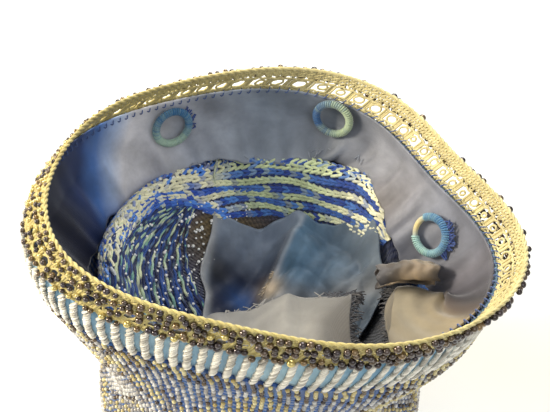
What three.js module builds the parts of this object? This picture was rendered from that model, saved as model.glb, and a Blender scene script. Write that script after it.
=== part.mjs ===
// A bead-knitted drawstring bag, stood mouth up and open, with its torn silk lining inside.
// Millimetres, +Z up, the floor at zero, the front of the bag towards -Y.
// Bearings are degrees round the bag: 0 at its right, 90 at its back.

import * as THREE from "three";

const DEGREE = Math.PI / 180;

// Moves the bag so that the middle of its box is over the origin
const BOX_SHIFT = { x: 0.8, y: -8.75 };

// Thicknesses and the gaps between pieces
const KNIT_THICKNESS = 2.0;
const RIB_THICKNESS = 1.6;
const EDGING_THICKNESS = 1.5;
const SILK_THICKNESS = 1.0;
const SEAM_GAP = 0.3;

// Edging: a row of gaps over its foot, each as a share of its height from the top
const EDGING_GAPS = 66;
const GAP_TOP = 0.52;
const GAP_FOOT = 0.84;

// Ribs round the band under the edging
const RIB_COUNT = 100;
const RIB_DEPTH = 0.5;
const RIB_SWELL = 0.8;

// Rings for a draw cord
const RING_RADIUS = 6.05;
const RING_WIRE = 1.4;
const RING_STAND_OFF = 2.9;

// How the mouth departs from a plain oval: each row is a set of even waves round it,
// its size a share of the radius and one crest at the bearing.
const MOUTH_WAVES = [
  { waves: 2, size: 0.015, bearing: -56 },
  { waves: 3, size: 0.065, bearing: -37 },
  { waves: 4, size: 0.014, bearing: -22 },
  { waves: 5, size: 0.019, bearing: -1 },
];

// Outer wall from the mouth down to where it rests: half its width and depth, its centre, and how many
// degrees it falls to the right.
const WALL = [
  { at: "edging top", height: 130, wide: 70.5, deep: 57, centreX: 3, centreY: 5, fall: 8, waves: 1 },
  { at: "edging foot", height: 120, wide: 70.5, deep: 57, centreX: -4.5, centreY: 5, fall: 8, waves: 1 },
  { at: "rib foot", height: 106.5, wide: 69, deep: 56.5, centreX: -5.5, centreY: 6, fall: 8, waves: 1 },
  { at: "bead foot", height: 97, wide: 66.5, deep: 54.5, centreX: -5, centreY: 7, fall: 8, waves: 1 },
  { at: "waist", height: 66, wide: 54, deep: 50.5, centreX: -7, centreY: 8, fall: 4, waves: 0.4 },
  { at: "belly", height: 35, wide: 56, deep: 51, centreX: -7, centreY: 6, fall: 1, waves: 0.1 },
  { at: "hem", height: 8, wide: 55.5, deep: 50, centreX: -7, centreY: 6, fall: 0, waves: 0 },
  { at: "floor outside", height: 1, wide: 51, deep: 45, centreX: -7, centreY: 6, fall: 0, waves: 0 },
];

// Soft swells and hollows in the body's outer wall: how far out, how wide in degrees, how tall
const DENTS = [
  { bearing: 30, height: 52, out: 1.8, spread: 20, tall: 24 },
  { bearing: 75, height: 58, out: -1.8, spread: 16, tall: 20 },
  { bearing: 140, height: 45, out: 2, spread: 24, tall: 26 },
  { bearing: 205, height: 60, out: -2.2, spread: 24, tall: 14 },
  { bearing: 258, height: 46, out: 1.6, spread: 15, tall: 24 },
  { bearing: 284, height: 54, out: -1.6, spread: 12, tall: 24 },
  { bearing: 322, height: 60, out: -2.2, spread: 18, tall: 14 },
];

// The bottom pushed up inside: its wall rises from the floor to a round crest and falls into a well.
// Heights are a share of the crest's height at that bearing, plus a rise. By the same share the ovals bulge.
const FOLD = [
  { at: "floor inside", share: 0, rise: 1, wide: 45, deep: 39, centreX: -7, centreY: 6 },
  { at: "inner hem", share: 0, rise: 9, wide: 45, deep: 40, centreX: -7, centreY: 6.5 },
  { at: "inner waist", share: 0.62, rise: 0, wide: 48.5, deep: 45, centreX: -7.5, centreY: 8 },
  { at: "inner wall", share: 0.93, rise: -2, wide: 51.5, deep: 46, centreX: -7.5, centreY: 8.5 },
  { at: "crest", share: 1, rise: 0, wide: 47, deep: 41.5, centreX: -7.5, centreY: 9.5 },
  { at: "well lip", share: 0.94, rise: -2, wide: 42, deep: 36.5, centreX: -7, centreY: 10 },
  { at: "well side", share: 0.4, rise: 30, wide: 27, deep: 25, centreX: 2, centreY: 12 },
  { at: "well foot", share: 0, rise: 56, wide: 13, deep: 12, centreX: 5, centreY: 11 },
];
const WELL_FLOOR = 54.5;

const CREST = [
  { bearing: 4, height: 74, bulge: 0 },
  { bearing: 17, height: 85, bulge: 0.05 },
  { bearing: 30, height: 97, bulge: 0.11 },
  { bearing: 46, height: 98.5, bulge: 0.13 },
  { bearing: 62, height: 99, bulge: 0.07 },
  { bearing: 90, height: 99.5, bulge: 0 },
  { bearing: 130, height: 100.5, bulge: 0 },
  { bearing: 175, height: 100, bulge: 0 },
  { bearing: 210, height: 88, bulge: 0 },
  { bearing: 260, height: 72, bulge: 0 },
  { bearing: 320, height: 72, bulge: 0 },
];

// The lining hangs from the edging's foot: how far down its torn edge is, how far in from the wall, how late
// on its way down it swings in (1 is a straight slope), and by how many degrees it skews off the radius.
const CURTAIN = [
  { bearing: 0, drop: 26, sag: 11.5, swing: 1.4, skew: -14 },
  { bearing: 10, drop: 24.5, sag: 12, swing: 1.3, skew: -8 },
  { bearing: 20, drop: 19, sag: 13, swing: 1.3, skew: -9 },
  { bearing: 32, drop: 14, sag: 11, swing: 1.4, skew: -13 },
  { bearing: 47, drop: 14, sag: 6.5, swing: 1.8, skew: -33 },
  { bearing: 60, drop: 13, sag: 4, swing: 3, skew: -20 },
  { bearing: 75, drop: 16.5, sag: 9, swing: 4, skew: 0 },
  { bearing: 90, drop: 19.5, sag: 12.5, swing: 2.2, skew: 0 },
  { bearing: 104, drop: 19.5, sag: 11, swing: 2.2, skew: 0 },
  { bearing: 118, drop: 23, sag: 7, swing: 2, skew: 0 },
  { bearing: 134, drop: 28, sag: 4.5, swing: 1.8, skew: 0 },
  { bearing: 150, drop: 33, sag: 4, swing: 1.6, skew: 0 },
  { bearing: 175, drop: 36, sag: 4, swing: 1.4, skew: 0 },
  { bearing: 210, drop: 34, sag: 5, swing: 1.4, skew: 0 },
  { bearing: 232, drop: 24, sag: 8, swing: 1.2, skew: 10 },
  { bearing: 246, drop: 20, sag: 11, swing: 1, skew: 20 },
  { bearing: 258, drop: 21.5, sag: 23, swing: 1, skew: 9 },
  { bearing: 274, drop: 24, sag: 35, swing: 1, skew: -8 },
  { bearing: 287, drop: 24.5, sag: 40, swing: 1, skew: -30 },
  { bearing: 292, drop: 6, sag: 4, swing: 1, skew: -26 },
  { bearing: 301, drop: 6, sag: 4, swing: 1, skew: -31 },
  { bearing: 307, drop: 22, sag: 35.5, swing: 1, skew: -37 },
  { bearing: 330, drop: 23.5, sag: 22, swing: 1.2, skew: -62 },
  { bearing: 347, drop: 26.5, sag: 13, swing: 1.4, skew: -34 },
];

// The loose lower lining lies in the well, lifted along its ridges.
const DRAPE = { left: -26.5, right: 36, front: -6, back: 40, tear: 1, clearance: 2.8 };
const DRAPE_CORNERS = { left: 0.18, right: 0.5 };
const DRAPE_RIDGES = [
  { fromX: -5, fromY: 4, toX: 7, toY: 31, height: 11, width: 8 },
  { fromX: 14, fromY: 20, toX: 26, toY: 15, height: 12, width: 11 },
];

// A rolled strip of lining at the right, its open tube lying across the well
const FLAP_ENDS = [
  { x: 31.5, y: 1.5, z: 94.5 },
  { x: 51.2, y: 3.2, z: 94 },
];
const FLAP_ROLL = { radius: 4, opens: -100, closes: 160, bow: 2 };

// Rings: the bearing each is sewn at, and how far below the edging's foot
const RINGS = [
  { name: "ring_1", bearing: 120, drop: 7 },
  { name: "ring_2", bearing: 70.5, drop: 3.5 },
  { name: "ring_3", bearing: 12, drop: 11 },
];

const COLOURS = {
  edging: { color: 0x9a7a34, roughness: 0.55, metalness: 0.15 },
  ribs: { color: 0x8fa0ac, roughness: 0.4, metalness: 0 },
  knit: { color: 0x4a6172, roughness: 0.6, metalness: 0 },
  silk: { color: 0x8a8f94, roughness: 0.5, metalness: 0 },
  tornSilk: { color: 0x6d7680, roughness: 0.55, metalness: 0 },
  rolledSilk: { color: 0x86735c, roughness: 0.55, metalness: 0 },
  ring: { color: 0x9fb0a0, roughness: 0.45, metalness: 0.3 },
};

// A column of a table of bearings, eased from row to row the whole way round.
function around(table, column, angle) {
  const bearing = THREE.MathUtils.euclideanModulo(angle / DEGREE, 360);
  const found = table.findIndex((row) => row.bearing > bearing);
  const next = found < 0 ? 0 : found;
  const after = table[next];
  const before = table[(next + table.length - 1) % table.length];
  const span = THREE.MathUtils.euclideanModulo(after.bearing - before.bearing, 360);
  const part = THREE.MathUtils.euclideanModulo(bearing - before.bearing, 360) / span;
  return THREE.MathUtils.lerp(before[column], after[column], THREE.MathUtils.smoothstep(part, 0, 1));
}

function mouthWave(angle) {
  return MOUTH_WAVES.reduce(
    (sum, row) => sum + row.size * Math.cos(row.waves * (angle - row.bearing * DEGREE)),
    0,
  );
}

function wallPoint(row, angle) {
  const swell = 1 + row.waves * mouthWave(angle);
  const x = row.centreX + row.wide * swell * Math.cos(angle);
  const y = row.centreY + row.deep * swell * Math.sin(angle);
  return new THREE.Vector3(x, y, row.height - x * Math.tan(row.fall * DEGREE));
}

function foldPoint(row, angle) {
  const swell = 1 + row.share * around(CREST, "bulge", angle);
  const x = row.centreX + row.wide * swell * Math.cos(angle);
  const y = row.centreY + row.deep * swell * Math.sin(angle);
  return new THREE.Vector3(x, y, row.share * around(CREST, "height", angle) + row.rise);
}

// The outer wall's middle surface at a depth below the edging's foot.
function wallBelowEdging(angle, drop) {
  const points = WALL.slice(1).map((row) => wallPoint(row, angle));
  const height = points[0].z - drop;
  const lower = Math.max(1, points.findIndex((point) => point.z <= height));
  const upper = points[lower - 1];
  return upper.clone().lerp(points[lower], (upper.z - height) / (upper.z - points[lower].z));
}

function angles(count) {
  return Array.from({ length: count }, (_, i) => (i / count) * 360 * DEGREE);
}

// A sheet of cloth as a closed solid: a grid of points on its middle surface, thickened along its
// normals. Rows listed as level are thickened sideways only, so that the next piece can meet them.
function clothSolid(grid, thickness, { closed = true, pole = null, level = [], isGap = () => false } = {}) {
  const rows = grid.length;
  const columns = grid[0].length;
  const cells = closed ? columns : columns - 1;
  const wrap = (c) => (closed ? (c + columns) % columns : THREE.MathUtils.clamp(c, 0, columns - 1));
  const point = (r, c) => grid[THREE.MathUtils.clamp(r, 0, rows - 1)][wrap(c)];
  const positions = [];
  const index = [];

  const addPair = (middle, normal) => {
    const half = normal.clone().multiplyScalar(thickness / 2);
    positions.push(...middle.clone().add(half).toArray(), ...middle.clone().sub(half).toArray());
  };
  for (let r = 0; r < rows; r += 1) {
    for (let c = 0; c < columns; c += 1) {
      const down = point(r + 1, c).clone().sub(point(r - 1, c));
      const along = point(r, c + 1).clone().sub(point(r, c - 1));
      const normal = down.cross(along);
      if (level.includes(r)) {
        normal.z = 0;
      }
      addPair(point(r, c), normal.normalize());
    }
  }

  const vertex = (r, c) => 2 * (r * columns + wrap(c));
  const isCloth = (r, c) => {
    const inside = r >= 0 && r < rows - 1 && (closed || (c >= 0 && c < cells));
    return inside && !isGap(r, wrap(c));
  };
  const quad = (a, b, c, d) => index.push(a, b, c, a, c, d);
  const side = (a, b) => quad(b, a, a + 1, b + 1);
  for (let r = 0; r < rows - 1; r += 1) {
    for (let c = 0; c < cells; c += 1) {
      if (!isCloth(r, c)) {
        continue;
      }
      const [a, b] = [vertex(r, c), vertex(r, c + 1)];
      const [d, e] = [vertex(r + 1, c), vertex(r + 1, c + 1)];
      quad(a, d, e, b);
      quad(a + 1, b + 1, e + 1, d + 1);
      if (!isCloth(r, c - 1)) {
        side(a, d);
      }
      if (!isCloth(r + 1, c) && !(pole && r === rows - 2)) {
        side(d, e);
      }
      if (!isCloth(r, c + 1)) {
        side(e, b);
      }
      if (!isCloth(r - 1, c)) {
        side(b, a);
      }
    }
  }
  if (pole) {
    const centre = positions.length / 3;
    addPair(pole.point, pole.normal);
    for (let c = 0; c < cells; c += 1) {
      const [a, b] = [vertex(rows - 1, c), vertex(rows - 1, c + 1)];
      index.push(a, centre, b, a + 1, b + 1, centre + 1);
    }
  }

  const geometry = new THREE.BufferGeometry();
  geometry.setAttribute("position", new THREE.Float32BufferAttribute(positions, 3));
  geometry.setIndex(index);
  geometry.computeVertexNormals();
  return geometry;
}

const bag = new THREE.Group();
bag.name = "beaded_bag";

function addPiece(name, geometry, colour) {
  const mesh = new THREE.Mesh(geometry, new THREE.MeshStandardMaterial(colour));
  mesh.name = name;
  bag.add(mesh);
  return mesh;
}

// Edging: a crocheted wall round the mouth, cut through by a row of gaps above its foot.
{
  const rows = [0, GAP_TOP, GAP_FOOT, 1].map((share) =>
    angles(EDGING_GAPS * 2).map((angle) => {
      const top = wallPoint(WALL[0], angle);
      const foot = wallPoint(WALL[1], angle);
      foot.z += SEAM_GAP;
      return top.lerp(foot, share);
    }),
  );
  const isGap = (r, c) => r === 1 && c % 2 === 0;
  addPiece("lace_edging", clothSolid(rows, EDGING_THICKNESS, { level: [0, 3], isGap }), COLOURS.edging);
}

// Rib band: upright ribs, two columns of points to a rib, swelling slightly at mid height.
{
  const rows = [0, 0.5, 1].map((share) =>
    angles(RIB_COUNT * 2).map((angle, column) => {
      const point = wallPoint(WALL[1], angle).lerp(wallPoint(WALL[2], angle), share);
      const out = (column % 2 ? -0.5 : 0.5) * RIB_DEPTH + RIB_SWELL * Math.sin(share * Math.PI);
      return point.add(new THREE.Vector3(out * Math.cos(angle), out * Math.sin(angle), 0));
    }),
  );
  addPiece("rib_band", clothSolid(rows, RIB_THICKNESS, { level: [0, 2] }), COLOURS.ribs);
}

// Body: one knitted wall from the ribs to the floor, up inside to the crest and down into the well.
const BODY_COLUMNS = 40;
const BODY_STEPS = 2;
const FLOOR_PRESS = 0.4;

function bodyProfile(angle) {
  const wall = WALL.slice(2).map((row) => wallPoint(row, angle));
  wall[0].z -= SEAM_GAP;
  const fold = FOLD.map((row) => foldPoint(row, angle));
  return new THREE.CatmullRomCurve3([...wall, ...fold], false, "centripetal");
}

function dentOut(angle, height) {
  return DENTS.reduce((sum, dent) => {
    const turned = THREE.MathUtils.euclideanModulo(angle / DEGREE - dent.bearing + 180, 360) - 180;
    const far = (turned / dent.spread) ** 2 + ((height - dent.height) / dent.tall) ** 2;
    return sum + dent.out * Math.exp(-far);
  }, 0);
}

{
  const outerRows = (WALL.length - 3) * BODY_STEPS;
  const count = (WALL.length - 2 + FOLD.length - 1) * BODY_STEPS;
  const grid = Array.from({ length: count + 1 }, (_, r) =>
    angles(BODY_COLUMNS).map((angle) => {
      const point = bodyProfile(angle).getPoint(r / count);
      const out = r > 0 && r < outerRows ? dentOut(angle, point.z) : 0;
      return point.add(new THREE.Vector3(out * Math.cos(angle), out * Math.sin(angle), 0));
    }),
  );
  const foot = FOLD[FOLD.length - 1];
  const pole = {
    point: new THREE.Vector3(foot.centreX, foot.centreY, WELL_FLOOR),
    normal: new THREE.Vector3(0, 0, -1),
  };
  const geometry = clothSolid(grid, KNIT_THICKNESS, { pole, level: [0] });
  const position = geometry.getAttribute("position");
  for (let i = 0; i < position.count; i += 1) {
    if (position.getZ(i) < FLOOR_PRESS) {
      position.setZ(i, 0);
    }
  }
  addPiece("body", geometry, COLOURS.knit);
}

// Lining curtain: silk sewn on under the edging, hanging inside the wall to a torn edge.
const CURTAIN_COLUMNS = 48;
const CURTAIN_ROWS = 4;
const CURTAIN_TOP = 1.0;
const CURTAIN_INSET = (RIB_THICKNESS + RIB_DEPTH + SILK_THICKNESS) / 2 + 0.4;

function curtainPoint(angle, share) {
  const drop = CURTAIN_TOP + share * (around(CURTAIN, "drop", angle) - CURTAIN_TOP);
  const swung = Math.max(share, 0) ** around(CURTAIN, "swing", angle);
  const inset = CURTAIN_INSET + around(CURTAIN, "sag", angle) * swung;
  const inward = angle + around(CURTAIN, "skew", angle) * swung * DEGREE;
  const point = wallBelowEdging(angle, drop);
  return point.sub(new THREE.Vector3(inset * Math.cos(inward), inset * Math.sin(inward), 0));
}

{
  const rows = Array.from({ length: CURTAIN_ROWS + 1 }, (_, r) =>
    angles(CURTAIN_COLUMNS).map((angle) => curtainPoint(angle, r / CURTAIN_ROWS)),
  );
  addPiece("lining_curtain", clothSolid(rows, SILK_THICKNESS, { level: [0] }), COLOURS.silk);
}

// Loose lining: lies in the well, lifted along its ridges, with uneven torn edges.
const DRAPE_COLUMNS = 14;
const DRAPE_ROWS = 11;

// The height of the well's surface over a point: its sections lie one inside the next.
function wellHeight(x, y) {
  const sections = FOLD.slice(5);
  const shape = (part) => {
    const row = Math.min(Math.floor(part), sections.length - 2);
    const [upper, lower] = [sections[row], sections[row + 1]];
    const mix = (column) => THREE.MathUtils.lerp(upper[column], lower[column], part - row);
    const [right, back] = [(x - mix("centreX")) / mix("wide"), (y - mix("centreY")) / mix("deep")];
    const angle = Math.atan2(back, right);
    const size = Math.hypot(right, back) / (1 + mix("share") * around(CREST, "bulge", angle));
    return { size, height: mix("share") * around(CREST, "height", angle) + mix("rise") };
  };
  let [lip, foot] = [0, sections.length - 1];
  for (let step = 0; step < 20; step += 1) {
    const middle = (lip + foot) / 2;
    [lip, foot] = shape(middle).size < 1 ? [middle, foot] : [lip, middle];
  }
  return shape(lip).height;
}

function ridgeLift(x, y) {
  return DRAPE_RIDGES.reduce((sum, ridge) => {
    const from = new THREE.Vector3(ridge.fromX, ridge.fromY, 0);
    const line = new THREE.Line3(from, new THREE.Vector3(ridge.toX, ridge.toY, 0));
    const here = new THREE.Vector3(x, y, 0);
    const away = here.distanceTo(line.closestPointToPoint(here, true, new THREE.Vector3())) / ridge.width;
    return sum + ridge.height * Math.exp(-away * away);
  }, 0);
}

{
  const grid = Array.from({ length: DRAPE_ROWS + 1 }, (_, r) =>
    Array.from({ length: DRAPE_COLUMNS + 1 }, (__, c) => {
      const [across, along] = [(2 * c) / DRAPE_COLUMNS - 1, (2 * r) / DRAPE_ROWS - 1];
      const corner = across < 0 ? DRAPE_CORNERS.left : DRAPE_CORNERS.right;
      const round = [Math.sqrt(1 - along * along * corner), Math.sqrt(1 - across * across * corner)];
      const outer = Math.max(Math.abs(across), Math.abs(along));
      const tear = DRAPE.tear * outer * Math.sin(7 * Math.atan2(along, across));
      const x = (DRAPE.left + DRAPE.right) / 2 + ((DRAPE.right - DRAPE.left) / 2) * across * round[0] + tear;
      const y = (DRAPE.front + DRAPE.back) / 2 - ((DRAPE.back - DRAPE.front) / 2) * along * round[1] + tear;
      return new THREE.Vector3(x, y, wellHeight(x, y) + DRAPE.clearance + ridgeLift(x, y));
    }),
  );
  addPiece("lining_drape", clothSolid(grid, SILK_THICKNESS, { closed: false }), COLOURS.tornSilk);
}

// Rolled flap: an open tube of torn silk, bowed along its length.
const FLAP_COLUMNS = 8;
const FLAP_ROWS = 8;

{
  const [from, to] = FLAP_ENDS.map((end) => new THREE.Vector3(end.x, end.y, end.z));
  const grid = Array.from({ length: FLAP_ROWS + 1 }, (_, r) =>
    Array.from({ length: FLAP_COLUMNS + 1 }, (__, c) => {
      const part = c / FLAP_COLUMNS;
      const roll = THREE.MathUtils.lerp(FLAP_ROLL.opens, FLAP_ROLL.closes, r / FLAP_ROWS) * DEGREE;
      const offset = new THREE.Vector3(0, Math.cos(roll), Math.sin(roll)).multiplyScalar(FLAP_ROLL.radius);
      offset.z += FLAP_ROLL.bow * Math.sin(part * Math.PI);
      return from.clone().lerp(to, part).add(offset);
    }),
  );
  addPiece("lining_flap", clothSolid(grid, SILK_THICKNESS, { closed: false }), COLOURS.rolledSilk);
}

// Rings: flat against the curtain's inner face.
for (const ring of RINGS) {
  const angle = ring.bearing * DEGREE;
  const length = around(CURTAIN, "drop", angle);
  const top = curtainPoint(angle, (ring.drop - RING_RADIUS) / length);
  const foot = curtainPoint(angle, (ring.drop + RING_RADIUS) / length);
  const down = foot.clone().sub(top);
  const along = curtainPoint(angle + 0.05, 0.2).sub(curtainPoint(angle - 0.05, 0.2));
  const inward = along.cross(down).normalize();
  const mesh = addPiece(ring.name, new THREE.TorusGeometry(RING_RADIUS, RING_WIRE, 6, 14), COLOURS.ring);
  mesh.quaternion.setFromUnitVectors(new THREE.Vector3(0, 0, 1), inward);
  mesh.position.copy(top).lerp(foot, 0.5).addScaledVector(inward, RING_STAND_OFF);
}

bag.position.set(BOX_SHIFT.x, BOX_SHIFT.y, 0);

export default bag;
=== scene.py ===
import math

import bmesh
import bpy
import numpy as np
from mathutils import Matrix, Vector


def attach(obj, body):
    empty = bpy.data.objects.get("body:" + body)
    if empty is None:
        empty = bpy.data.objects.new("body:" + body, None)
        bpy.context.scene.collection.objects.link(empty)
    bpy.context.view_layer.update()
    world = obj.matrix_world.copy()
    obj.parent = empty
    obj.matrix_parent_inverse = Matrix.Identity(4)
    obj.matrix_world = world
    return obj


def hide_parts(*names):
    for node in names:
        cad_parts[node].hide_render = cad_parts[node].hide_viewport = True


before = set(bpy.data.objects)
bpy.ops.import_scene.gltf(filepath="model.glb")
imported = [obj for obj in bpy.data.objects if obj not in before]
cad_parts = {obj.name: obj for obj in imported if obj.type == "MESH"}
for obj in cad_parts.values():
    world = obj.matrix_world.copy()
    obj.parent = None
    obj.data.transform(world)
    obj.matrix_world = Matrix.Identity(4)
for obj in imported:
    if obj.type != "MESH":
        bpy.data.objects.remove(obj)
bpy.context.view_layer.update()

# Camera, floor and light
# The photo looks down into the open mouth from the front. The bag stands on a pale table in soft white
# light, brightest from the upper left.
ELEVATION = math.radians(46)
CAMERA_DISTANCE = 0.344
LENS, SENSOR = 75.08, 36
MOUTH_MIDDLE = Vector((-0.0007, -0.00875, 0.130))
LIT_PLACE = Vector((0, 0, 0.1))
ROOM_LIGHT = 0.5
TABLE_SIZE = 3
TABLE_SHADES = ((0.35, "efe9da"), (0.65, "e6f0f6"))

scene = bpy.context.scene
scene.view_settings.view_transform = "Standard"

camera_data = bpy.data.cameras.new("photo_camera")
camera_data.lens = LENS
camera_data.sensor_width = SENSOR
camera = bpy.data.objects.new("photo_camera", camera_data)
camera.location = MOUTH_MIDDLE + CAMERA_DISTANCE * Vector((0, -math.cos(ELEVATION), math.sin(ELEVATION)))
camera.rotation_euler = (math.pi / 2 - ELEVATION, 0, 0)
scene.collection.objects.link(camera)
scene.camera = camera


def node(tree, kind, inputs=None, **settings):
    """A shader node with its settings, and its inputs set or linked."""
    made = tree.nodes.new(kind)
    for key, value in settings.items():
        setattr(made, key, value)
    for key, value in (inputs or {}).items():
        if isinstance(value, bpy.types.NodeSocket):
            tree.links.new(value, made.inputs[key])
        else:
            made.inputs[key].default_value = value
    return made


def new_material(name, **finish):
    """A material with the shader's values given, its node tree and its shader."""
    material = bpy.data.materials.new(name)
    material.use_nodes = True
    shader = material.node_tree.nodes["Principled BSDF"]
    for key, value in finish.items():
        shader.inputs[key.replace("_", " ").title()].default_value = value
    return material, material.node_tree, shader


def clouds(tree, scale, detail):
    """Noise in the piece's own coordinates."""
    place = node(tree, "ShaderNodeTexCoord").outputs["Object"]
    noise = node(tree, "ShaderNodeTexNoise", {"Vector": place, "Scale": scale, "Detail": detail})
    return noise.outputs["Fac"]


def ink(code):
    """A colour as seen, written like 8fa0ac, as linear light."""
    seen = np.array([int(code[i : i + 2], 16) for i in (0, 2, 4)]) / 255
    return np.where(seen <= 0.04045, seen / 12.92, ((seen + 0.055) / 1.055) ** 2.4)


def light(name, place, size, watts, colour):
    """A soft square light that looks at the bag."""
    data = bpy.data.lights.new(name, "AREA")
    data.size = size
    data.energy = watts
    data.color = ink(colour)
    lamp = bpy.data.objects.new(name, data)
    lamp.location = place
    lamp.rotation_euler = (LIT_PLACE - lamp.location).to_track_quat("-Z", "Y").to_euler()
    scene.collection.objects.link(lamp)


light("key", (-0.6, -0.02, 0.46), size=0.2, watts=7.0, colour="fff6e4")
light("fill", (0.25, -0.6, 0.7), size=0.6, watts=2.4, colour="eaf2ff")
light("table_light", (0.1, 0.7, 0.9), size=0.7, watts=11.0, colour="ffffff")

world = bpy.data.worlds.new("white_room")
world.use_nodes = True
world.node_tree.nodes["Background"].inputs["Color"].default_value = (1, 1, 1, 1)
world.node_tree.nodes["Background"].inputs["Strength"].default_value = ROOM_LIGHT
scene.world = world

floor_mesh = bpy.data.meshes.new("floor")
bm = bmesh.new()
bmesh.ops.create_grid(bm, x_segments=8, y_segments=8, size=TABLE_SIZE)
bm.to_mesh(floor_mesh)
bm.free()
floor = bpy.data.objects.new("floor", floor_mesh)
scene.collection.objects.link(floor)

floor_material, tree, shader = new_material("pale_table", roughness=0.7)
shade = node(tree, "ShaderNodeValToRGB", {"Fac": clouds(tree, 5.0, 2.0)})
for stop, (position, colour) in zip(shade.color_ramp.elements, TABLE_SHADES):
    stop.position = position
    stop.color = (*ink(colour), 1)
tree.links.new(shade.outputs["Color"], shader.inputs["Base Color"])
floor_mesh.materials.append(floor_material)

# Lace edging
# Gold crochet round the mouth: a twisted rope along the top, two rows of looped stitches, rings of thread
# round the holes, posts of three threads between the large ones, and a cord where the lining is sewn on.
# Dark glass beads sit on its outer face.
MM = 0.001
BOX_SHIFT = np.array((0.8, -8.75, 0.0))


def table(columns, *rows):
    """A table as an array for each column name."""
    return dict(zip(columns.split(), np.array(rows, float).T))


MOUTH_WAVES = table("waves size bearing", (2, 0.015, -56), (3, 0.065, -37), (4, 0.014, -22), (5, 0.019, -1))
WALL = table(
    "height wide deep x y fall waves",
    (130, 70.5, 57, 3, 5, 8, 1),
    (120, 70.5, 57, -4.5, 5, 8, 1),
    (106.5, 69, 56.5, -5.5, 6, 8, 1),
    (97, 66.5, 54.5, -5, 7, 8, 1),
    (66, 54, 50.5, -7, 8, 4, 0.4),
    (35, 56, 51, -7, 6, 1, 0.1),
    (8, 55.5, 50, -7, 6, 0, 0),
    (1, 51, 45, -7, 6, 0, 0),
)
THREAD_SIDES = 6
ROPE_ROW, ROPE_SWING, ROPE_THREAD = 0.04, 0.03, 0.43
LOOP_ROWS = ((0.06, 0.22), (0.2, 0.37))
LOOP_THREAD = 0.42
STITCH_DEPTH = 0.3
EDGING_GAPS = 66
POST_TOP, POST_FOOT = 0.5, 0.88
POST_TURN = 1.5 / (2 * EDGING_GAPS) * 2 * math.pi
POST_SPACING = 0.011
CORDS = ((POST_TOP, 0.42), (POST_FOOT, 0.4), (0.975, 0.45))
BEAD_COLUMNS = 165
BEAD_ROWS = (0.16, 0.42, 0.67, 0.92)
BEAD_SIZE = 1.26 * np.array((1.0, 0.88, 0.95))

chance = np.random.default_rng(7)


def unit(vectors):
    """Vectors made one long."""
    return vectors / (np.linalg.norm(vectors, axis=-1, keepdims=True) + 1e-9)


def hill(x, middle, width):
    """A smooth bump of height one."""
    return np.exp(-(((x - middle) / width) ** 2))


def turned_from(angle, bearing):
    """Degrees from a bearing, the short way round."""
    return (np.degrees(angle) - bearing + 180) % 360 - 180


def near(angle, bearing, width):
    """A smooth bump of height one about a bearing, its width in degrees."""
    return hill(turned_from(angle, bearing), 0, width)


def loop(count):
    """Bearings the whole way round."""
    return np.arange(count) / count * 2 * np.pi


def mixed(first, second, share):
    """From one colour to another by shares, one a point."""
    share = np.clip(np.asarray(share, float), 0, 1)[..., None]
    return first * (1 - share) + second * share


def ovals(angle):
    """Where the ovals of the outer wall are at these bearings: (bearing, oval, xyz)."""
    turn = angle[:, None] - np.radians(MOUTH_WAVES["bearing"])
    wave = (MOUTH_WAVES["size"] * np.cos(MOUTH_WAVES["waves"] * turn)).sum(1)
    swell = 1 + wave[:, None] * WALL["waves"]
    x = WALL["x"] + WALL["wide"] * swell * np.cos(angle)[:, None]
    y = WALL["y"] + WALL["deep"] * swell * np.sin(angle)[:, None]
    return np.stack([x, y, WALL["height"] - x * np.tan(np.radians(WALL["fall"]))], -1) + BOX_SHIFT


def wall(angle, row):
    """The outer wall, straight from one oval to the next: row 0 is the top, 1 the edging's foot."""
    last = len(WALL["height"]) - 1
    row = np.clip(row, 0, last)
    upper = np.minimum(row.astype(int), last - 1)
    each, part = np.arange(len(angle)), (row - upper)[:, None]
    points = ovals(angle)
    return points[each, upper] * (1 - part) + points[each, upper + 1] * part


def outward(surface, angle, row):
    """The unit normal of a surface given by bearing and row, on the side of the beads."""
    along = surface(angle + 0.004, row) - surface(angle - 0.004, row)
    down = surface(angle, row + 0.02) - surface(angle, row - 0.02)
    return unit(np.cross(down, along))


def on(surface, angle, row, off):
    """Points that far off a surface."""
    angle, row = np.broadcast_arrays(np.asarray(angle, float), np.asarray(row, float))
    off = np.broadcast_to(np.asarray(off, float), angle.shape)[:, None]
    return surface(angle, row) + off * outward(surface, angle, row)


def piece(name, mesh, material):
    """A mesh as an object of the scene that moves with the bag."""
    mesh.shade_smooth()
    mesh.materials.append(material)
    made = bpy.data.objects.new(name, mesh)
    scene.collection.objects.link(made)
    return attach(made, "root")


def from_arrays(name, points, faces, tints, material):
    """A piece from points in millimetres, faces and a colour for each point."""
    mesh = bpy.data.meshes.new(name)
    mesh.from_pydata((points * MM).tolist(), [], faces)
    colours = np.ones((len(points), 4), np.float32)
    colours[:, :3] = tints
    mesh.attributes.new("tint", "FLOAT_COLOR", "POINT").data.foreach_set("color", colours.ravel())
    return piece(name, mesh, material)


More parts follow.
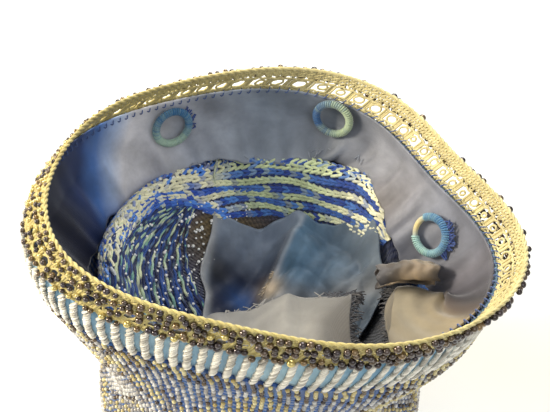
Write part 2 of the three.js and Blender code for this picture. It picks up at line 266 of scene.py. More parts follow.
def strands(name, groups, material):
    """Threads as one mesh. Each group is (paths, radius, tints, closed): paths are (thread, point, xyz)."""
    points, faces, tints, start = [], [], [], 0
    around = loop(THREAD_SIDES)[:, None]
    for paths, radius, tint, closed in groups:
        count, steps = paths.shape[:2]
        if closed:
            tangent = unit(np.roll(paths, -1, 1) - np.roll(paths, 1, 1))
        else:
            tangent = unit(np.gradient(paths, axis=1))
        helper = np.eye(3)[np.abs(tangent).mean(1).argmin(1)][:, None]
        side = unit(np.cross(tangent, np.broadcast_to(helper, tangent.shape)))
        other = np.cross(tangent, side)
        radius = np.broadcast_to(np.asarray(radius, float), (count, steps))[..., None, None]
        ring = np.cos(around) * side[:, :, None] + np.sin(around) * other[:, :, None]
        points.append((paths[:, :, None] + radius * ring).reshape(-1, 3))
        ids = start + np.arange(count * steps * THREAD_SIDES).reshape(count, steps, THREAD_SIDES)
        ahead = np.roll(ids, -1, 1) if closed else ids[:, 1:]
        here = ids if closed else ids[:, :-1]
        quads = np.stack([here, ahead, np.roll(ahead, -1, 2), np.roll(here, -1, 2)], -1)
        faces += quads.reshape(-1, 4)[:, ::-1].tolist()
        if not closed:
            faces += ids[:, 0].tolist() + ids[:, -1, ::-1].tolist()
        tint = np.broadcast_to(np.asarray(tint, float), (count, steps, 3))
        tints.append(np.repeat(tint[:, :, None], THREAD_SIDES, 2).reshape(-1, 3))
        start += ids.size
    return from_arrays(name, np.concatenate(points), faces, np.concatenate(tints), material)


def beads(name, segments, places, axes, tints, material):
    """Small round beads as one mesh. axes are (bead, 3, xyz): half sizes along three directions."""
    ball = bmesh.new()
    bmesh.ops.create_uvsphere(ball, u_segments=segments[0], v_segments=segments[1], radius=1)
    shape = np.array([vert.co for vert in ball.verts])
    corners = [[vert.index for vert in face.verts] for face in ball.faces]
    ball.free()
    points = places[:, None] + np.einsum("vk,nkx->nvx", shape, axes)
    starts = range(0, len(places) * len(shape), len(shape))
    faces = [[first + i for i in face] for first in starts for face in corners]
    return from_arrays(name, points.reshape(-1, 3), faces, np.repeat(tints, len(shape), 0), material)


def bead_axes(surface, angle, row, sizes):
    """Half sizes of beads along the thread, down the wall and out of it."""
    out = outward(surface, angle, row)
    along = unit(np.cross(np.array((0, 0, 1.0)), out))
    down = np.cross(out, along)
    sizes = np.broadcast_to(sizes, (len(angle), 3))
    return np.stack([along * sizes[:, :1], down * sizes[:, 1:2], out * sizes[:, 2:]], 1)


def tint_of(tree):
    """The colour that a mesh carries at each point."""
    return node(tree, "ShaderNodeAttribute", attribute_name="tint").outputs["Color"]


def raise_bumps(tree, shader, height, strength, distance):
    """Small bumps where a height varies over the piece."""
    bump = node(tree, "ShaderNodeBump", {"Height": height, "Strength": strength, "Distance": distance})
    tree.links.new(bump.outputs["Normal"], shader.inputs["Normal"])


def glass(name, **finish):
    """Glass in each bead's own colour."""
    material, tree, shader = new_material(name, **finish)
    tree.links.new(tint_of(tree), shader.inputs["Base Color"])
    return material


gold_thread, tree, shader = new_material("gold_thread", roughness=0.45, sheen_weight=0.3)
wear = {0: clouds(tree, 160.0, 2.0), 6: (0.55, 0.48, 0.34, 1), 7: (1.2, 1.2, 1.18, 1)}
worn = node(tree, "ShaderNodeMix", wear, data_type="RGBA").outputs[2]
layers = {0: 1.0, 6: tint_of(tree), 7: worn}
coloured = node(tree, "ShaderNodeMix", layers, data_type="RGBA", blend_type="MULTIPLY")
tree.links.new(coloured.outputs[2], shader.inputs["Base Color"])
raise_bumps(tree, shader, clouds(tree, 1400.0, 3.0), strength=0.5, distance=0.0004)


def gold_at(angle):
    """The thread's gold, paler at the right and the back as painted highlight and darker at the left as
    painted shade.
    """
    turned = np.abs(turned_from(angle, 35))
    gold = mixed(ink("ddd19a"), ink("d3c47e"), (turned - 40) / 70)
    return mixed(gold, ink("bfb06c"), near(angle, 150, 40))


groups = []
fine = loop(BEAD_COLUMNS * 8)
for turn in (0, np.pi):
    twist = fine * (BEAD_COLUMNS // 2) + turn
    rope = on(wall, fine, ROPE_ROW + ROPE_SWING * np.sin(twist), STITCH_DEPTH * np.cos(twist))
    groups.append((rope[None], ROPE_THREAD, gold_at(fine), True))
fine = loop(BEAD_COLUMNS * 6)
stitch = fine * BEAD_COLUMNS
for first, last in LOOP_ROWS:
    for turn in (0, np.pi):
        looped = (first + last) / 2 + (last - first) / 2 * np.cos(stitch + turn)
        path = on(wall, fine, looped, STITCH_DEPTH * np.sin(2 * stitch + turn))
        groups.append((path[None], LOOP_THREAD, gold_at(fine), True))
coarse = loop(EDGING_GAPS * 10)
for row, thread in CORDS:
    wavy = row + 0.02 * np.sin(coarse * EDGING_GAPS * 2) + 0.012 * np.sin(coarse * 29)
    path = on(wall, coarse, wavy, 0.2 * np.sin(coarse * EDGING_GAPS * 3))
    groups.append((path[None], thread, gold_at(coarse), True))


def lace_holes(count, first, wide, middle, tall, thread):
    """A row of round holes in the lace, each inside its own ring of thread, smaller at the right."""
    turn = loop(14)
    at = first + loop(count) + chance.normal(0, 0.09, count) * 2 * np.pi / count
    size = chance.uniform(0.6, 1.12, (count, 1)) * (1 - 0.35 * near(at, 20, 50))[:, None]
    angle = at[:, None] + wide * size * np.cos(turn)
    row = middle + chance.normal(0, 0.018, (count, 1)) + tall * size * np.sin(turn)
    path = on(wall, angle.ravel(), row.ravel(), 0.15 * np.sin(angle * 300).ravel())
    hole_tint = np.repeat(gold_at(at)[:, None], len(turn), 1)
    groups.append((path.reshape(count, len(turn), 3), thread, hole_tint, True))


gap_middle = POST_TURN + np.pi / EDGING_GAPS
lace_holes(EDGING_GAPS, first=gap_middle, wide=0.031, middle=0.69, tall=0.17, thread=0.4)
lace_holes(2 * EDGING_GAPS, first=0, wide=0.019, middle=0.43, tall=0.072, thread=0.27)
lace_holes(2 * EDGING_GAPS, first=0.01, wide=0.014, middle=0.93, tall=0.05, thread=0.34)
post = np.linspace(POST_TOP, POST_FOOT, 6)
post_tint = np.repeat(gold_at(loop(EDGING_GAPS))[:, None], len(post), 1)
for side in (-1, 0, 1):
    at = loop(EDGING_GAPS) + POST_TURN + side * POST_SPACING
    posts = np.stack([on(wall, at, row, STITCH_DEPTH * (side == 0)) for row in post], 1)
    groups.append((posts, LOOP_THREAD, post_tint, False))
edging = strands("edging_crochet", groups, gold_thread)
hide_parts("lace_edging")

dark_glass = glass("dark_glass", metallic=0.55, roughness=0.16, coat_weight=0.6, coat_roughness=0.05)

angle = np.concatenate([loop(BEAD_COLUMNS) + half * np.pi / BEAD_COLUMNS for half in (0, 1, 0, 1)])
row = np.repeat(BEAD_ROWS, BEAD_COLUMNS)
kept = (row < 0.5) | ((np.sin(angle) < 0.2) & (chance.uniform(0, 1, len(row)) < 0.9))
angle, row = angle[kept], row[kept]
leftward = near(angle, 168, 58)
rightward = near(angle, 10, 45) * (row < 0.3)
angle = angle + chance.normal(0, 0.0042, len(angle))
row = row + chance.normal(0, 0.05, len(row)) - 0.06 * rightward
sizes = BEAD_SIZE * chance.uniform(0.82, 1.08, (len(row), 1)) * (1 - 0.34 * leftward)[:, None]
stand_off = chance.uniform(0.95, 1.3, len(row)) * (1 - 0.5 * leftward) + 0.45 * rightward
browns = mixed(ink("362a21"), ink("8c7248"), chance.uniform(0, 1, len(row)) ** 2)
browns = mixed(browns, ink("3a3440"), chance.uniform(0, 0.6, len(row)))
is_gilt = chance.uniform(0, 1, len(row)) < 0.4 * leftward
browns[is_gilt] = ink("c9b46c")
where = on(wall, angle, row, stand_off)
axes = bead_axes(wall, angle, row, sizes)
edging_beads = beads("edging_beads", (9, 6), where, axes, browns, dark_glass)

# Rib band
# Upright ribs of white seed beads worked side by side, with blue silk showing between them. The beads of a
# rib lie slanting, as on a twisted cord.
RIB_COUNT = 100
RIB_BEADS = 14
RIB_TOP, RIB_TALL = 1.05, 0.93
RIB_SLANT = math.radians(38)
RIB_BEAD_LONG, RIB_BEAD_THIN, RIB_BEAD_OUT = 1.95, 0.5, 0.85
RIB_STAND_OFF = 0.75
RIB_SWELL = 0.8
LEAN = table("bearing turn", (0, -4), (60, 0), (230, 0), (275, -2), (325, -6))


def eased(rows, column, angle):
    """A column of a table of bearings, eased from row to row right round the bag."""
    bearing = np.degrees(angle) % 360
    after = np.searchsorted(rows["bearing"], bearing, side="right") % len(rows["bearing"])
    before = after - 1
    span = (rows["bearing"][after] - rows["bearing"][before]) % 360
    part = ((bearing - rows["bearing"][before]) % 360) / span
    part = part * part * (3 - 2 * part)
    return rows[column][before] * (1 - part) + rows[column][after] * part


def cloth(name, grid, flat, place, tint, material, closed=False, thick=0.5):
    """A sheet as a grid with a thickness. place and tint give its points and colours.

    Both take shares across and down the sheet. A closed sheet goes right round the bag.
    """
    bm = bmesh.new()
    flat_layer = bm.loops.layers.uv.new("flat_mm")
    tint_layer = bm.verts.layers.float_color.new("tint")
    bmesh.ops.create_grid(bm, x_segments=grid[0], y_segments=grid[1], size=0.5)
    across = np.array([vert.co.x + 0.5 for vert in bm.verts])
    down = np.array([0.5 - vert.co.y for vert in bm.verts])
    points, colours = place(across, down) * MM, tint(across, down)
    for vert, u, v, point, colour in zip(bm.verts, across, down, points, colours):
        vert.co = point
        vert[tint_layer] = (*colour, 1)
        for corner in vert.link_loops:
            corner[flat_layer].uv = (u * flat[0], v * flat[1])
    if closed:
        bmesh.ops.remove_doubles(bm, verts=bm.verts, dist=1e-6)
    mesh = bpy.data.meshes.new(name)
    bm.to_mesh(mesh)
    bm.free()
    made = piece(name, mesh, material)
    solid = made.modifiers.new("thickness", "SOLIDIFY")
    solid.thickness = thick * MM
    solid.offset = 0
    return made


def bands(tree, flat, direction, scale, distortion, detail_scale=1.0):
    """Soft stripes over flat cloth."""
    values = {"Vector": flat, "Scale": scale, "Distortion": distortion, "Detail Scale": detail_scale}
    return node(tree, "ShaderNodeTexWave", values, bands_direction=direction).outputs["Fac"]


weave = bpy.data.node_groups.new("silk_weave", "ShaderNodeTree")
weave.interface.new_socket("Flat", in_out="INPUT", socket_type="NodeSocketVector")
weave.interface.new_socket("Threads", in_out="OUTPUT", socket_type="NodeSocketFloat")
weave.interface.new_socket("Worn", in_out="OUTPUT", socket_type="NodeSocketFloat")
flat = node(weave, "NodeGroupInput").outputs["Flat"]
warp = bands(weave, flat, "X", scale=1.1, distortion=0.6)
weft = bands(weave, flat, "Y", scale=0.8, distortion=1.2)
crossed = node(weave, "ShaderNodeMath", {0: warp, 1: weft}, operation="ADD")
slubs = {"Vector": flat, "Scale": 0.16, "Detail": 5.0, "Roughness": 0.6}
slub = node(weave, "ShaderNodeTexNoise", slubs)
node(weave, "NodeGroupOutput", {"Threads": crossed.outputs[0], "Worn": slub.outputs["Fac"]})


def silk(name, roughness, dull, bright):
    """Woven silk in the piece's own colours, its wear between two strengths of them."""
    material, tree, shader = new_material(name, roughness=roughness, sheen_weight=0.35, sheen_roughness=0.4)
    place = node(tree, "ShaderNodeUVMap", uv_map="flat_mm")
    woven = node(tree, "ShaderNodeGroup", node_tree=weave)
    tree.links.new(place.outputs["UV"], woven.inputs["Flat"])
    worn = {"Value": woven.outputs["Worn"], 1: 0.3, 2: 0.7, 3: dull, 4: bright}
    wear = node(tree, "ShaderNodeMapRange", worn)
    strength = {0: tint_of(tree), "Scale": wear.outputs[0]}
    coloured = node(tree, "ShaderNodeVectorMath", strength, operation="SCALE")
    tree.links.new(coloured.outputs[0], shader.inputs["Base Color"])
    raise_bumps(tree, shader, woven.outputs["Threads"], strength=0.25, distance=0.0002)
    return material


def rib_wall(angle, row):
    """The band's wall, leaning round the bag on its way down and swelling at mid height."""
    share = np.clip(row - 1, 0, 1)
    turned = angle + np.radians(eased(LEAN, "turn", angle)) * share
    points = wall(turned, row)
    swell = RIB_SWELL * np.sin(share * np.pi)[:, None]
    return points + swell * np.stack([np.cos(turned), np.sin(turned), 0 * turned], 1)


def rib_base(across, down):
    """The silk under the ribs, raised a little below each of them."""
    angle = across * 2 * np.pi
    return on(rib_wall, angle, 1.02 + 0.97 * down, -0.5 + 0.25 * np.cos(angle * RIB_COUNT))


def rib_blue(across, down):
    """Blue silk, paler in patches."""
    patch = 0.5 + 0.5 * np.sin(across * 43) * np.sin(across * 17 + 2 * down)
    return mixed(ink("6b98b6"), ink("9cbdca"), patch)


rib_silk = silk("rib_silk", roughness=0.5, dull=0.75, bright=1.15)
ribs = cloth("rib_silk", (400, 6), (400, 14), rib_base, rib_blue, rib_silk, closed=True, thick=1.2)
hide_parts("rib_band")

pale_glass = glass("pale_glass", roughness=0.22, coat_weight=0.5, coat_roughness=0.08)

angle = np.repeat(loop(RIB_COUNT), RIB_BEADS)
row = np.tile(RIB_TOP + RIB_TALL * np.arange(RIB_BEADS) / (RIB_BEADS - 1), RIB_COUNT)
angle = angle + chance.normal(0, 0.0018, len(angle))
axes = bead_axes(rib_wall, angle, row, (1, 1, RIB_BEAD_OUT))
across, down = axes[:, 0].copy(), axes[:, 1].copy()
axes[:, 0] = RIB_BEAD_LONG * (math.cos(RIB_SLANT) * across + math.sin(RIB_SLANT) * down)
axes[:, 1] = RIB_BEAD_THIN * (math.cos(RIB_SLANT) * down - math.sin(RIB_SLANT) * across)
whites = mixed(ink("ece5d4"), ink("9a9283"), chance.uniform(0, 1, len(angle)) ** 1.1)
rib_beads = beads("rib_beads", (8, 5), on(rib_wall, angle, row, RIB_STAND_OFF), axes, whites, pale_glass)

# Body
# A knitted tube of blue silk with a seed bead in each stitch, white with zigzags of gold and brown. Its
# bottom is pushed up inside, so that from above the wrong side shows as a thick roll round a well.
FOLD = table(
    "share rise wide deep x y",
    (0, 1, 45, 39, -7, 6),
    (0, 9, 45, 40, -7, 6.5),
    (0.62, 0, 48.5, 45, -7.5, 8),
    (0.93, -2, 51.5, 46, -7.5, 8.5),
    (1, 0, 47, 41.5, -7.5, 9.5),
    (0.94, -2, 42, 36.5, -7, 10),
    (0.4, 30, 27, 25, 2, 12),
    (0, 56, 13, 12, 5, 11),
)
CREST = table(
    "bearing height bulge",
    (4, 74, 0), (17, 85, 0.05), (30, 97, 0.11), (46, 98.5, 0.13), (62, 99, 0.07), (90, 99.5, 0),
    (130, 100.5, 0), (175, 100, 0), (210, 88, 0), (260, 72, 0), (320, 72, 0),
)
DENTS = table(
    "bearing height out spread tall",
    (30, 52, 1.8, 20, 24),
    (75, 58, -1.8, 16, 20),
    (140, 45, 2, 24, 26),
    (205, 60, -2.2, 24, 14),
    (258, 46, 1.6, 15, 24),
    (284, 54, -1.6, 12, 24),
    (322, 60, -2.2, 18, 14),
)
FLOOR_ROW, WELL_FOOT_ROW, LAST_ROW = 5, 13, 13.4
WELL_FLOOR = np.array((5, 11, 54.5)) + BOX_SHIFT
KNIT_THICK = 1.8
LOWEST = 1.0


def smooth(points, row):
    """A smooth curve through each row of points, as (curve, point, xyz)."""

    def gap(p, q):
        return np.sqrt(np.linalg.norm(q - p, axis=1, keepdims=True)) + 1e-6

    before, after = 2 * points[:, :1] - points[:, 1:2], 2 * points[:, -1:] - points[:, -2:-1]
    ends = np.concatenate([before, points, after], 1)
    row = np.clip(row, 0, points.shape[1] - 1)
    first = np.minimum(row.astype(int), points.shape[1] - 2)
    each, part = np.arange(len(points)), (row - first)[:, None]
    a, b, c, d = (ends[each, first + k] for k in range(4))
    ab, bc, cd = gap(a, b), gap(b, c), gap(c, d)
    start = ((b - a) / ab - (c - a) / (ab + bc) + (c - b) / bc) * bc
    stop = ((c - b) / bc - (d - b) / (bc + cd) + (d - c) / cd) * bc
    square = -3 * b + 3 * c - 2 * start - stop
    return b + start * part + square * part**2 + (2 * b - 2 * c + start + stop) * part**3


def body(angle, row):
    """The knitted wall: rows 0 to 5 go down outside, 6 to 10 up to the crest, 11 to 13 into the well."""
    swell = 1 + FOLD["share"] * eased(CREST, "bulge", angle)[:, None]
    x = FOLD["x"] + FOLD["wide"] * swell * np.cos(angle)[:, None]
    y = FOLD["y"] + FOLD["deep"] * swell * np.sin(angle)[:, None]
    z = FOLD["share"] * eased(CREST, "height", angle)[:, None] + FOLD["rise"]
    fold = np.stack([x, y, z], -1) + BOX_SHIFT
    points = smooth(np.concatenate([ovals(angle)[:, 2:], fold], 1), row)
    turned = turned_from(angle[:, None], DENTS["bearing"])
    far = (turned / DENTS["spread"]) ** 2 + ((points[:, 2:] - DENTS["height"]) / DENTS["tall"]) ** 2
    out = (DENTS["out"] * np.exp(-far)).sum(1) * ((row > 0) & (row < FLOOR_ROW))
    return points + out[:, None] * np.stack([np.cos(angle), np.sin(angle), 0 * angle], 1)


def body_place(across, down):
    """The whole wall, closed in the well's floor."""
    angle, row = across * 2 * np.pi, down * LAST_ROW
    points = body(angle, row)
    inner = np.clip((row - WELL_FOOT_ROW) / (LAST_ROW - WELL_FOOT_ROW), 0, 1)[:, None]
    points = points * (1 - inner) + WELL_FLOOR * inner
    points[:, 2] = np.maximum(points[:, 2], LOWEST)
    return points


def body_tint(across, down):
    """Blue outside and in, darker into the well as painted shade, brown in the hollow at the back of the
    well, and nearly black at its right as painted shade.
    """
    angle, row = across * 2 * np.pi, down * LAST_ROW
    patch = 0.5 + 0.5 * np.sin(angle * 9 + 3 * row) * np.sin(angle * 23 - row)
    outside = mixed(ink("1f4c94"), ink("366aac"), patch)
    inside = mixed(ink("16307c"), ink("24489a"), patch)
    # Painted shade: darker deeper into the well.
    inside = mixed(inside, ink("14244e"), (row - 11) / 0.6)
    hollow = near(angle, 122, 32) * np.clip((row - 11.1) / 0.25, 0, 1)
    inside = mixed(inside, ink("75623a"), hollow)
    # Painted shade, nearly black, at the right of the well.
    shadow = np.clip(1.6 * near(angle, 332, 52), 0, 1) * (row > 9)
    inside = mixed(inside, ink("0c0d14"), shadow)
    return mixed(outside, inside, row > FLOOR_ROW + 0.5)


knit, tree, shader = new_material("silk_knit", roughness=0.55, sheen_weight=0.4)
flat = node(tree, "ShaderNodeUVMap", uv_map="flat_mm").outputs["UV"]
ribs_up = bands(tree, flat, "X", scale=0.135, distortion=1.5, detail_scale=2.0)
rows_round = bands(tree, flat, "Y", scale=0.17, distortion=2.0, detail_scale=2.0)
stitches = node(tree, "ShaderNodeMath", {0: ribs_up, 1: rows_round}, operation="ADD").outputs[0]
# Painted shade: the colour is darker in the hollows between the stitches.
depth = node(tree, "ShaderNodeMapRange", {"Value": stitches, 1: 0.0, 2: 2.0, 3: 0.5, 4: 1.2})
strength = {0: tint_of(tree), "Scale": depth.outputs[0]}
coloured = node(tree, "ShaderNodeVectorMath", strength, operation="SCALE")
tree.links.new(coloured.outputs[0], shader.inputs["Base Color"])
raise_bumps(tree, shader, stitches, strength=0.7, distance=0.0006)

body_parts = (body_place, body_tint, knit)
knitted = cloth("body_knit", (180, 134), (360, 340), *body_parts, closed=True, thick=KNIT_THICK)
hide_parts("body")

BODY_BEAD_COLUMNS = 160
BODY_BEAD_GAP = 2.2
BODY_BEAD = 0.84 * np.array((1, 0.95, 0.9))
BODY_BEAD_STAND_OFF = 1.25
FIRST_COURSE, LAST_COURSE = 105.6, 4
UPPER_COURSES = 24
ZIGZAG_TALL, ZIGZAG_WIDE = 14, 20

height_of_row = np.arange(FIRST_COURSE, LAST_COURSE, -BODY_BEAD_GAP)
row_of_height = np.interp(-height_of_row, -WALL["height"][2:], np.arange(6))
column, course = np.meshgrid(np.arange(BODY_BEAD_COLUMNS), np.arange(len(height_of_row)), indexing="ij")
column, course = column.ravel(), course.ravel()
angle = column / BODY_BEAD_COLUMNS * 2 * np.pi + chance.normal(0, 0.003, len(column))
row = row_of_height[course] + chance.normal(0, 0.006, len(column))
draw = chance.uniform(0, 1, len(column))
zigzag = (course + np.abs(column % ZIGZAG_WIDE - ZIGZAG_WIDE // 2)) % ZIGZAG_TALL
front = np.clip(1.3 - np.abs(turned_from(angle, 295)) / 50, 0, 1)
colours = mixed(ink("cfcbc2"), ink("837a70"), draw**1.2)
is_gold = ((zigzag < 5) & (draw < 0.55 + 0.4 * front)) | ((course < 4) & (draw < 0.5))
colours[is_gold] = mixed(ink("a8904c"), ink("d8ca94"), chance.uniform(0, 1, len(draw)))[is_gold]
is_brown = (((zigzag == 5) | (zigzag == 13)) & (draw > 0.3)) | ((course < 5) & (draw > 0.6))
colours[is_brown] = mixed(ink("6b5638"), ink("3a2e26"), chance.uniform(0, 1, len(draw)))[is_brown]
is_upper = course < UPPER_COURSES
bead_bands = {"body_beads_upper": ((6, 4), is_upper), "body_beads_lower": ((6, 3), ~is_upper)}
for name, (segments, chosen) in bead_bands.items():
    where = on(body, angle[chosen], row[chosen], BODY_BEAD_STAND_OFF)
    axes = bead_axes(body, angle[chosen], row[chosen], BODY_BEAD)
    body_beads = beads(name, segments, where, axes, colours[chosen], pale_glass)

# Wrong side of the knitting
# Where the bottom is pushed up, rows of blue and pale silk stitches run along the roll, and long strands fan
# over it into the well at the left. Beads from the other side show through as white dots.
KNIT_ROWS, STITCHES = 11, 62
KNIT_FROM, KNIT_TO, KNIT_SHORTER = 22, 204, 5.4
ROLL_FROM, ROLL_TO = 9.5, 11.5
BACK = 88.0
ROW_TILT = np.array((0, 0.72, 0.69))
HIDDEN = 9.0
STITCH_LEG, STITCH_THREAD, STITCH_LIFT = 0.064, 0.6, 1.1
PALE_EVERY_SECOND, BLUE_BETWEEN = 1.7, -0.7
LEFT_STRIPES = {1: 0.3, 3: 1.4, 4: 1.4, 5: 1.4, 7: 1.4, 8: 0.3}
LEFT_BLUE = -0.9
FAN_STRANDS, FAN_FROM, FAN_TURN = 46, 122, 95
FAN_NECK, FAN_HIGHEST, FAN_SPREAD = 11.05, 9.75, 2.2
DOT = np.array((0.62, 0.6, 0.6))

soft_thread, tree, shader = new_material("soft_thread", roughness=0.6, sheen_weight=0.3)
tree.links.new(tint_of(tree), shader.inputs["Base Color"])
raise_bumps(tree, shader, clouds(tree, 1800.0, 3.0), strength=0.6, distance=0.0004)


def level_at(bearing, share):
    """The row of the wall for a share of the way over the roll, from its outside into the well."""
    deepest = np.interp(bearing, (36, 118, 142, 202), (ROLL_TO, 11.4, 10.62, 10.5))
    whole = np.interp(share, (0, 0.21, 0.58, 1), (ROLL_FROM, 10, 11, ROLL_TO))
    return ROLL_FROM + (whole - ROLL_FROM) * (deepest - ROLL_FROM) / (ROLL_TO - ROLL_FROM)


def up_the_tilt(bearing, row):
    """How far up points of the wall lie, across the tilted planes of the rows."""
    return body(np.radians(bearing), row) @ ROW_TILT


def straight_level(bearing, share):
    """As level_at, but right of the back the rows lie in tilted planes instead of going round the bag."""
    rows = np.linspace(9.95, 12.0, 42)
    level = level_at(bearing, share)
    back = np.array([BACK])
    top = up_the_tilt(back, rows[:1])[0]
    foot = up_the_tilt(back, level_at(back, np.ones(1)))[0]
    for i in np.nonzero(bearing < BACK)[0]:
        start = np.maximum(level_at(back, share[i : i + 1]), rows[0])
        part = (top - up_the_tilt(back, start)[0]) / (top - foot)
        reach = up_the_tilt(np.full(len(rows), bearing[i]), rows)
        lowest = foot - (BACK - bearing[i]) * 0.16
        aim = reach[0] + (lowest - reach[0]) * part
        level[i] = np.interp(-aim, -reach, rows) if aim < reach[0] + 0.01 else HIDDEN
    return level


groups = []
leg = np.linspace(0, 1, 4)
for k in range(KNIT_ROWS):
    bearing = np.linspace(KNIT_FROM, KNIT_TO, STITCHES) + chance.normal(0, 0.25, STITCHES)
    share = (k + 0.2 * np.sin(np.radians(bearing) * 9 + k)) / (KNIT_ROWS - 1)
    level = straight_level(bearing, share)
    lean = np.clip(np.gradient(level, bearing), -0.12, 0.12)
    shown = (level > HIDDEN) & ((k > 0) | (bearing > BACK)) & (bearing < KNIT_TO - KNIT_SHORTER * k)
    bearing, level, lean = bearing[shown], level[shown], lean[shown]
    at = np.radians(bearing)
    above, below = (body(at, level + step) for step in (-0.02, 0.02))
    row_depth = np.linalg.norm(below - above, axis=1, keepdims=True) / 0.04
    ragged = np.sin(at * 23 + 3 * k) * np.sin(at * 41 + k * k) + chance.normal(0, 0.25, len(at))
    left = np.clip((bearing - 96) / 16, 0, 1)
    pale = np.clip(1.5 * ragged + (PALE_EVERY_SECOND if k % 2 else BLUE_BETWEEN), 0, 1)
    stripe = np.clip(1.6 * ragged + LEFT_STRIPES.get(k, LEFT_BLUE), 0, 1)
    pale = pale * (1 - left) + stripe * left
    # Paler towards the right end; at the left the pale stitches are paler still and the blues brighter, as
    # painted highlight on the roll.
    pale_tint = mixed(ink("c3cf9e"), ink("f4efc8"), np.clip((62 - bearing) / 20, 0, 1) + left)
    pale_tint = pale_tint * chance.uniform(0.8, 1.1, (len(at), 1))
    blues = mixed(ink("1b3c8c"), ink("4a7cc0"), chance.uniform(0, 1, len(at)) ** 1.5)
    blues = blues * (1 + 0.7 * left)[:, None]
    stitch_tint = np.repeat(mixed(blues, pale_tint, pale)[:, None], len(leg), 1)
    for side in (-1, 1):
        angle = at[:, None] + STITCH_LEG * leg
        rows = level[:, None] + side * (0.2 + 0.75 * leg) / row_depth
        rows = rows + lean[:, None] * np.degrees(STITCH_LEG * leg)
        lift = -STITCH_LIFT - chance.uniform(0.3, 0.8, (len(at), 1)) * np.sin(leg * np.pi)
        path = on(body, angle.ravel(), rows.ravel(), lift.ravel()).reshape(len(at), len(leg), 3)
        groups.append((path, STITCH_THREAD, stitch_tint, False))
fan = np.linspace(0, 1, 60)
for k in range(FAN_STRANDS):
    bearing = FAN_FROM + 2 * np.sin(k * 2.0) + FAN_TURN * fan
    end = FAN_HIGHEST + FAN_SPREAD * k / (FAN_STRANDS - 1)
    spread = np.minimum(fan * 1.5, 1.15) ** 0.8
    row = FAN_NECK + (end - FAN_NECK) * spread + 0.004 * np.sin(fan * 40 + k)
    path = on(body, np.radians(bearing), row, -1.2 - 0.35 * np.sin(fan * 70 + 2 * k))
    shade = mixed(ink("78b0a0"), ink("e0e6b8"), 0.5 + 0.5 * np.sin(fan * 17 + k))
    blues = mixed(ink("0e1a44"), ink("25509a"), 0.5 + 0.5 * np.sin(fan * 19 + 1.7 * k))
    ragged = np.sin(fan * 31 + k * 2.1) + 0.6 * np.sin(fan * 67 + k) + chance.normal(0, 0.35, len(fan))
    is_pale = k % 4 == 0 or k in (9, 18, 27)
    broken = 1.3 * ragged + 1.3 if is_pale else ragged - 1.3
    groups.append((path[None], 0.42 + 0.2 * fan[None], mixed(blues, shade, broken)[None], False))
rows_inside = strands("knit_rows", groups, soft_thread)

angle = np.radians(chance.uniform(100, 205, 170))
dots = [(angle, chance.uniform(9.4, 10.1, 170))]
across, down = np.meshgrid(np.radians(np.arange(128, 216, 2.8)), np.arange(11.25, 11.8, 0.09))
kept = chance.uniform(0, 1, across.size) < 0.55
across = across + chance.normal(0, 0.006, across.shape) + 0.5 * (down - 11.3)
down = down + chance.normal(0, 0.012, down.shape)
dots.append((across.ravel()[kept], down.ravel()[kept]))
pairs = np.repeat(np.radians(chance.uniform(98, 136, 22)), 2)
dots.append((pairs + np.tile((0, 0.035), 22), np.repeat(chance.uniform(11.12, 11.5, 22), 2)))
angle = np.radians(chance.uniform(150, 225, 90))
dots.append((angle, chance.uniform(10.2, 11.3, 90)))
angle, row = (np.concatenate(part) for part in zip(*dots))
axes = bead_axes(body, angle, row, DOT * chance.uniform(0.5, 1.2, (len(angle), 1)))
dot_tint = np.tile(ink("f4f2ea"), (len(angle), 1))
sparkles = beads("inside_beads", (6, 4), on(body, angle, row, -1.5), axes, dot_tint, pale_glass)

# Lining curtain
# What is left of the grey-blue silk lining: sewn under the edging with dark blue thread, it hangs inside the
# wall and ends in a torn edge. At the front it has slipped down and lies across the well.
CURTAIN = table(
    "bearing drop sag swing skew",
    (0, 26, 11.5, 1.4, -14),
    (10, 24.5, 12, 1.3, -8),
    (20, 19, 13, 1.3, -9),
    (32, 14, 11, 1.4, -13),
    (47, 14, 6.5, 1.8, -33),
    (60, 13, 4, 3, -20),
    (75, 16.5, 9, 4, 0),
    (90, 19.5, 12.5, 2.2, 0),
    (104, 19.5, 11, 2.2, 0),
    (118, 23, 7, 2, 0),
    (134, 28, 4.5, 1.8, 0),
    (150, 33, 4, 1.6, 0),
    (175, 36, 4, 1.4, 0),
    (210, 34, 5, 1.4, 0),
    (232, 24, 8, 1.2, 10),
    (246, 20, 11, 1, 20),
    (258, 21.5, 23, 1, 9),
    (274, 24, 35, 1, -8),
    (287, 24.5, 40, 1, -30),
    (292, 6, 4, 1, -26),
    (301, 6, 4, 1, -31),
    (307, 22, 35.5, 1, -37),
    (330, 23.5, 22, 1.2, -62),
    (347, 26.5, 13, 1.4, -34),
)
CURTAIN_TOP = 1.0
CURTAIN_INSET = 1.95
SEAM_OVERLAP = 1.3
SEAM_STITCHES, SEAM_THREAD = 140, 0.2
# Colours by bearing. The pale grey and blue rows from 120 to 143 are painted sheen; from 151 to 232 the
# silk's own dark navy is deepened with painted shade; from 331 to 345 is a painted shadow in the gap beside
# the tan panel.
CURTAIN_TINT = {
    0: "6a6b74", 20: "81838d", 40: "85868e", 55: "86878e", 72: "7c828b", 90: "828c98", 108: "a3a8b2",
    120: "c9c7ca", 130: "e4e1e2", 136: "b4c6e4", 143: "527cbe", 151: "24396a", 166: "121830", 205: "0d0f1c",
    232: "1c1e26", 246: "6f6c66", 258: "8a867e", 280: "8f8a80", 290: "4a443c", 304: "6f6450", 314: "8a7d62",
    325: "8c7a58", 331: "54463a", 337: "2c2728", 345: "464247", 353: "6a676d",
}


